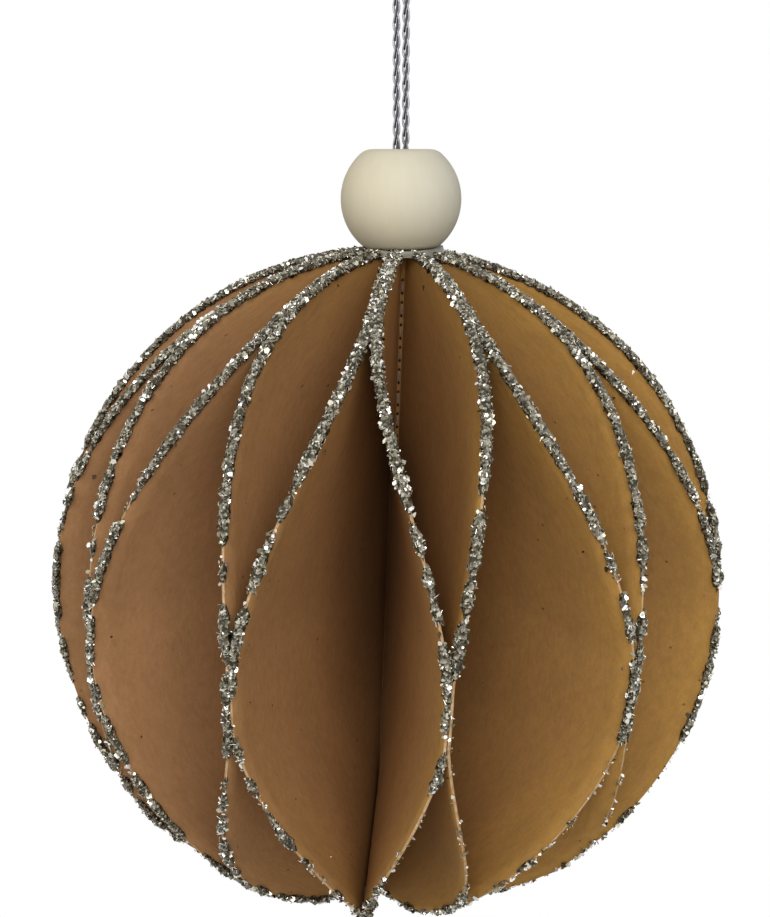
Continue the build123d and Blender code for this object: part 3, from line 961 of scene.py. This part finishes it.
class PAPERBALL_OT_bead(Operator):
    """Turn the wooden bead"""

    bl_idname = "paperball.bead"
    bl_label = "Wooden bead"

    def execute(self, context):
        settings = context.scene.paper_ball.bead
        half = (BEAD_TOP_Z - BEAD_FOOT_Z) / 2
        middle = (BEAD_TOP_Z + BEAD_FOOT_Z) / 2
        radius = settings.diameter / 2
        bore = settings.bore / 2
        brow = half - settings.brow
        arc = np.linspace(-1, 1, 64) * np.arcsin(brow / radius)
        outside = np.column_stack((radius * np.cos(arc), radius * np.sin(arc)))
        shoulder = np.array((outside[-1], (outside[-1, 0] - settings.brow * brow / outside[-1, 0], half),
                             (settings.flat / 2, half)))
        top = bezier(shoulder, 8)
        lip = bezier(np.array(((bore + settings.ease, half), (bore, half), (bore, half - settings.ease))), 6)
        upper = np.concatenate((top[1:], lip))
        wall = np.linspace(half - 2 * settings.ease, 2 * settings.ease - half, 8)
        inside = np.column_stack((np.full(8, bore), wall))
        profile = np.concatenate((outside, upper, inside, upper[::-1] * (1, -1)))
        points = turned(profile + (0, middle), 128)
        quads = ring_quads(*points.shape[:2])
        piece = add_piece("turned_bead", points.reshape(-1, 3), [quads], [wood_finish(settings)])
        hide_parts("wood_bead")
        return {"FINISHED"}


class PAPERBALL_OT_glue(Operator):
    """Lay the glue under the bead, and give the glue between the leaves its finish"""

    bl_idname = "paperball.glue"
    bl_label = "Glue"

    def execute(self, context):
        clear = glue_finish("clear_glue")
        angle = np.linspace(0, TURN, SKIRT_TURNS, endpoint=False)
        rng = np.random.default_rng(9)
        ripple = sum(
            rng.uniform(0.4, 1) / order * np.sin(order * angle + rng.uniform(0, TURN))
            for order in (2, 3, 5, 9, 14)
        )
        share = np.linspace(0, 1, 14)
        beside = np.abs(np.cos(angle)) ** 1.5
        radius = SKIRT_RADIUS + SKIRT_FLARE * share**1.6 + SKIRT_RIPPLE * ripple[:, None] * (0.4 + share)
        seat_x = SKIRT_SEAT_RADIUS * np.cos(angle) - BALL_CENTRE[0]
        seat_y = SKIRT_SEAT_RADIUS * np.sin(angle)
        level = BALL_CENTRE[2] + np.sqrt(RADIUS**2 - seat_x**2 - seat_y**2)
        top = BEAD_FOOT_Z - SKIRT_DROP + SKIRT_RISE * beside + SKIRT_TILT * np.cos(angle)
        top = top + SKIRT_RIPPLE * np.roll(ripple, 31)
        height = top[:, None] + (level - SKIRT_SEAT_DEPTH - top)[:, None] * share
        wall = (SKIRT_TURNS, len(SKIRT_INNER_RADIUS))
        radius = np.concatenate((radius, np.broadcast_to(SKIRT_INNER_RADIUS, wall)), axis=1)
        height = np.concatenate((height, np.broadcast_to(BEAD_FOOT_Z + SKIRT_INNER_RISE, wall)), axis=1)
        points = np.stack((radius * np.cos(angle)[:, None], radius * np.sin(angle)[:, None], height), axis=-1)
        quads = ring_quads(*points.shape[:2])[:, ::-1]
        piece = add_piece("bead_glue_skirt", points.reshape(-1, 3), [quads], [clear])
        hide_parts("bead_glue")
        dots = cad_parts["glue_dots"]
        dots.data.materials.clear()
        dots.data.materials.append(glue_finish("glue_between_leaves"))
        return {"FINISHED"}


def cord_line():
    """The cord's route as one open NURBS spline, and the points along it."""
    curve = bpy.data.curves.new("cord_route", "CURVE")
    curve.dimensions = "3D"
    curve.resolution_u = 160
    spline = curve.splines.new("NURBS")
    spline.points.add(len(CORD_ROUTE) - 1)
    for point, place in zip(spline.points, CORD_ROUTE):
        point.co = (*place, 1)
    spline.order_u = 3
    spline.use_endpoint_u = True
    route = bpy.data.objects.new("cord_route", curve)
    bpy.context.scene.collection.objects.link(route)
    line = bpy.data.meshes.new_from_object(route)
    points = np.empty(3 * len(line.vertices))
    line.vertices.foreach_get("co", points)
    bpy.data.objects.remove(route)
    bpy.data.meshes.remove(line)
    return points.reshape(-1, 3)


def evenly(points, spacing):
    """Points at an even spacing along a line of points, by straight interpolation."""
    along = np.concatenate(((0,), np.cumsum(np.linalg.norm(np.diff(points, axis=0), axis=1))))
    places = np.linspace(0, along[-1], int(along[-1] / spacing) + 1)
    return np.column_stack([np.interp(places, along, points[:, axis]) for axis in range(3)]), places


def chain_link(settings):
    """One stitch of the chain: a yarn loop shaped like a drop, as a tube round a closed line.

    The line is (w sin t sin(t / 2) ^ 1.4, -L / 2 cos t): pointed where t is 0 and round where it is half a
    turn. It leans from behind the cord's line at its point to in front of it at its round end.
    """
    t = np.linspace(0, TURN, 28, endpoint=False)
    bulge = np.sin(t) * np.abs(np.sin(t / 2)) ** 1.4
    yarn = settings.yarn / 2
    side = (settings.diameter / 2 - yarn) * bulge / bulge.max()
    rise = settings.link * settings.overlap * np.cos(t) / 2
    depth = -(settings.diameter / 2 - yarn) * 0.62 * np.cos(t)
    line = np.column_stack((side, depth, rise))
    heading = unit(np.roll(line, -1, axis=0) - np.roll(line, 1, axis=0))
    out = unit(np.cross(heading, (0.0, 1.0, 0.0)))
    over = np.cross(out, heading)
    turn = np.linspace(0, TURN, 8, endpoint=False)
    ring = out[:, None] * np.cos(turn)[:, None] + over[:, None] * np.sin(turn)[:, None]
    return line[:, None] + ring * yarn, turn


class PAPERBALL_OT_cord(Operator):
    """Chain-stitch the doubled cord"""

    bl_idname = "paperball.cord"
    bl_label = "Cord"

    def execute(self, context):
        settings = context.scene.paper_ball.cord
        line, along = evenly(cord_line(), 0.11 * MM)
        count = 2 * int(along[-1] / settings.link)
        pitch = along[-1] / (count + 2)
        places = pitch * (np.arange(count) + 1.5)
        centre, ahead = (
            np.column_stack([np.interp(places + shift, along, line[:, axis]) for axis in range(3)])
            for shift in (0, 0.3 * pitch)
        )
        rise = unit(ahead - centre) * np.where(places < along[-1] / 2, 1, -1)[:, None]
        side = unit(np.cross((0.0, 1.0, 0.0), rise))
        front = np.cross(side, rise)
        link, turn = chain_link(settings)
        rows, columns = link.shape[:2]
        flip = (np.arange(count) % 2)[:, None]
        first, second = side * (1 - flip) - front * flip, front * (1 - flip) + side * flip
        axes = np.stack((first, -second, rise), axis=1)
        points = centre[:, None] + link.reshape(-1, 3) @ axes
        quads = ring_quads(rows, columns)
        arrays = (quads + np.arange(count)[:, None, None] * rows * columns).reshape(-1, 4)
        kinds = np.repeat(np.arange(count) % 2, len(quads))
        silver = yarn_finish("silver_yarn", settings.silver, settings.silver_painted_shade, 0.9)
        graphite = yarn_finish("graphite_yarn", settings.graphite, settings.graphite_painted_shade, 0.7)
        yarns = [silver, graphite]
        piece = add_piece("braided_cord", points.reshape(-1, 3), [arrays], yarns, kinds)
        around = np.broadcast_to(turn * settings.yarn / 2, (rows, columns))
        travel = np.broadcast_to((np.arange(rows) / rows * 2 * settings.link)[:, None], (rows, columns))
        set_map(piece, np.tile(np.stack((around, travel), axis=-1).reshape(-1, 2), (count, 1)))
        # Painted light: one for the yarn's front and back, which take the bright colour, and nought for its
        # sides, which are painted dark
        painted_light_share = np.broadcast_to(np.abs(np.sin(turn)), (rows, columns))
        set_value(piece, "painted_light_share", np.tile(painted_light_share.ravel(), count))
        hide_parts("hanging_cord")
        return {"FINISHED"}


def area_lamp(name, place, aim_at, size, power):
    """A square soft lamp that faces a point."""
    light = bpy.data.lights.new(name, "AREA")
    light.size = size
    light.energy = power
    lamp = bpy.data.objects.new(name, light)
    lamp.location = place
    lamp.rotation_euler = (Vector(aim_at) - Vector(place)).to_track_quat("-Z", "Y").to_euler()
    bpy.context.scene.collection.objects.link(lamp)


def floor_finish():
    """The pale floor: it takes the shadow near the ornament, and further out it is the background's white."""
    finish = Finish("pale_floor", Roughness=0.9, Base_Color=(0.88, 0.88, 0.88, 1))
    place = finish.node("ShaderNodeTexCoord").outputs["Object"]
    level = finish.node("ShaderNodeVectorMath", {0: place, 1: (1, 1, 0)}, operation="MULTIPLY")
    distance = finish.node("ShaderNodeVectorMath", {0: level.outputs["Vector"]}, operation="LENGTH")
    far = finish.levels(distance.outputs["Value"], *FLOOR_FADE)
    path = finish.node("ShaderNodeLightPath")
    seen = finish.node("ShaderNodeMath", {0: path.outputs["Is Camera Ray"], 1: path.outputs["Is Glossy Ray"]},
                       operation="MAXIMUM").outputs[0]
    seen = finish.node("ShaderNodeMath", {0: seen, 1: path.outputs["Is Transmission Ray"]},
                       operation="MAXIMUM").outputs[0]
    share = finish.node("ShaderNodeMath", {0: seen, 1: far}, operation="MULTIPLY").outputs[0]
    white = finish.node("ShaderNodeEmission", {"Color": (1, 1, 1, 1), "Strength": 1.0})
    mix = finish.node("ShaderNodeMixShader", {0: share, 1: finish.shader.outputs[0], 2: white.outputs[0]})
    finish.tree.links.new(mix.outputs[0], finish.tree.nodes["Material Output"].inputs["Surface"])
    return finish.material


class PAPERBALL_OT_stage(Operator):
    """Set up the camera, the lamps, the floor and the white background"""

    bl_idname = "paperball.stage"
    bl_label = "Stage"

    def execute(self, context):
        settings = context.scene.paper_ball.stage
        self.camera(context.scene)
        area_lamp("key_lamp", KEY_PLACE, tuple(BALL_CENTRE), KEY_SIZE, settings.key_power)
        area_lamp("fill_lamp", FILL_PLACE, tuple(BALL_CENTRE), FILL_SIZE, settings.fill_power)
        half = settings.floor_size / 2
        corners = np.array(((-half, -half), (half, -half), (half, half), (-half, half)))
        mesh = bpy.data.meshes.new("floor")
        mesh.from_pydata([(x, y, -settings.floor_depth) for x, y in corners], [], [(0, 1, 2, 3)])
        mesh.materials.append(floor_finish())
        floor = bpy.data.objects.new("floor", mesh)
        context.scene.collection.objects.link(floor)
        self.background(context.scene, settings)
        context.scene.view_settings.view_transform = "Standard"
        return {"FINISHED"}

    @staticmethod
    def camera(scene):
        """A camera at the photograph's angle, turned so that the ball's centre falls on its pixel."""
        data = bpy.data.cameras.new("camera")
        data.sensor_width = SENSOR
        data.lens = SENSOR * FOCAL_PIXELS / PHOTO_HEIGHT
        data.clip_start = 0.01
        camera = bpy.data.objects.new("camera", data)
        back = Vector((0, -np.cos(VIEW_ELEVATION), np.sin(VIEW_ELEVATION))) * VIEW_DISTANCE
        camera.location = Vector(BALL_CENTRE) + back
        across_pixels = CENTRE_PIXEL[0] - PHOTO_WIDTH / 2
        down_pixels = CENTRE_PIXEL[1] - PHOTO_HEIGHT / 2
        pitch = -VIEW_ELEVATION + np.arctan(down_pixels / FOCAL_PIXELS)
        turn = np.arctan(across_pixels / FOCAL_PIXELS)
        camera.rotation_euler = (np.pi / 2 + pitch, 0, turn)
        scene.collection.objects.link(camera)
        scene.camera = camera

    @staticmethod
    def background(scene, settings):
        """White where the camera, gloss or glass sees it, and a soft even light on everything else."""
        world = bpy.data.worlds.new("studio")
        world.use_nodes = True
        scene.world = world
        tree = world.node_tree
        shade = tree.nodes["Background"]
        path = tree.nodes.new("ShaderNodeLightPath")
        strength = path.outputs["Is Camera Ray"]
        for kind in ("Is Glossy Ray", "Is Transmission Ray"):
            larger = tree.nodes.new("ShaderNodeMath")
            larger.operation = "MAXIMUM"
            tree.links.new(strength, larger.inputs[0])
            tree.links.new(path.outputs[kind], larger.inputs[1])
            strength = larger.outputs[0]
        stretch = tree.nodes.new("ShaderNodeMapRange")
        stretch.inputs["To Min"].default_value = settings.air
        stretch.inputs["To Max"].default_value = 1.0
        tree.links.new(strength, stretch.inputs["Value"])
        tree.links.new(stretch.outputs["Result"], shade.inputs["Strength"])
        shade.inputs["Color"].default_value = (1, 1, 1, 1)


STEPS = (
    PAPERBALL_OT_sheets,
    PAPERBALL_OT_glitter,
    PAPERBALL_OT_seam,
    PAPERBALL_OT_bead,
    PAPERBALL_OT_glue,
    PAPERBALL_OT_cord,
    PAPERBALL_OT_stage,
)


class PAPERBALL_PT_panel(Panel):
    """Lists the steps that build the ornament, and their settings."""

    bl_idname = "PAPERBALL_PT_panel"
    bl_label = "Paper Ball"
    bl_space_type = "VIEW_3D"
    bl_region_type = "UI"
    bl_category = "Paper Ball"

    def draw(self, context):
        settings = context.scene.paper_ball
        for step in STEPS:
            self.layout.operator(step.bl_idname)
        for part in settings.__annotations__:
            group = getattr(settings, part)
            box = self.layout.box()
            for name in group.__annotations__:
                box.prop(group, name)


CLASSES = (
    PaperSettings,
    SeamSettings,
    GlitterSettings,
    BeadSettings,
    CordSettings,
    StageSettings,
    PaperBallSettings,
    *STEPS,
    PAPERBALL_PT_panel,
)


def register():
    """Registers the classes and hangs the settings on the scene."""
    for kind in CLASSES:
        bpy.utils.register_class(kind)
    bpy.types.Scene.paper_ball = PointerProperty(type=PaperBallSettings)


def unregister():
    """Takes the settings and the classes away again."""
    del bpy.types.Scene.paper_ball
    for kind in reversed(CLASSES):
        bpy.utils.unregister_class(kind)


def main():
    """Builds the ornament and its stage."""
    register()
    bpy.ops.paperball.sheets()
    bpy.ops.paperball.glitter()
    bpy.ops.paperball.seam()
    bpy.ops.paperball.bead()
    bpy.ops.paperball.glue()
    bpy.ops.paperball.cord()
    bpy.ops.paperball.stage()


if __name__ == "__main__":
    main()
